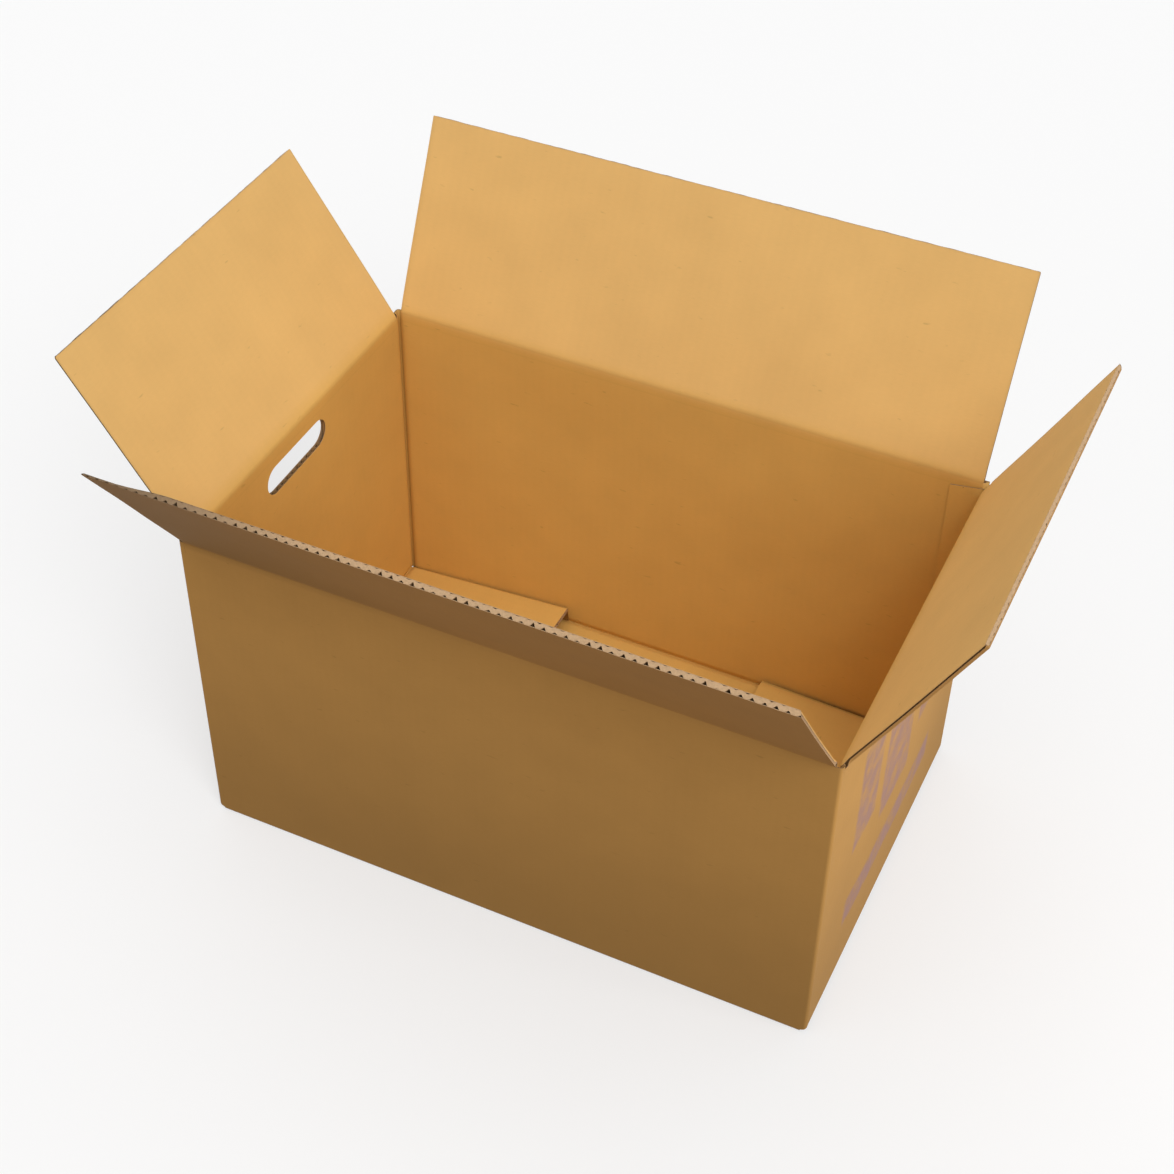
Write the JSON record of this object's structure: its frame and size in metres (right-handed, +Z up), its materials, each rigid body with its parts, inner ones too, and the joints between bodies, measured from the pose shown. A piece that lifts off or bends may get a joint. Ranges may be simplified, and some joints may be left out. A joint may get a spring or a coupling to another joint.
{
  "type": "moving box",
  "caption": "Open slotted carton of fluted board with hinged top flaps, cut hand holes in the end walls and a taped floor.",
  "frame": {"origin": "centre of the underside of the made-up box, at the floor", "axes": "+X along the long walls to the end wall that carries the glue tab, +Y from the front wall to the back wall, +Z up"},
  "size_m": [0.796, 0.5718, 0.5148],
  "materials": {
    "kraft_board": "matt",
    "fluted_flap": "matt",
    "packing_tape": "gloss"
  },
  "bodies": {
    "box": {"box_body": "kraft_board", "bottom_tape": "packing_tape"},
    "front_flap": {"front_flap": "fluted_flap"},
    "back_flap": {"back_flap": "fluted_flap"},
    "left_flap": {"left_flap": "fluted_flap"},
    "right_flap": {"right_flap": "fluted_flap"}
  },
  "joints": [
    {"name": "front_crease", "type": "hinge", "parent": "box", "child": "front_flap", "pos_m": [0, -0.191, 0.34], "axis": [1, 0, 0], "range_deg": [-125, 135]},
    {"name": "back_crease", "type": "hinge", "parent": "box", "child": "back_flap", "pos_m": [0, 0.191, 0.34], "axis": [-1, 0, 0], "range_deg": [-115, 145]},
    {"name": "left_crease", "type": "hinge", "parent": "box", "child": "left_flap", "pos_m": [-0.3, 0, 0.3347], "axis": [0, -1, 0], "range_deg": [-123.5, 136.5]},
    {"name": "right_crease", "type": "hinge", "parent": "box", "child": "right_flap", "pos_m": [0.3, 0, 0.3347], "axis": [0, 1, 0], "range_deg": [-118.5, 141.5]}
  ]
}
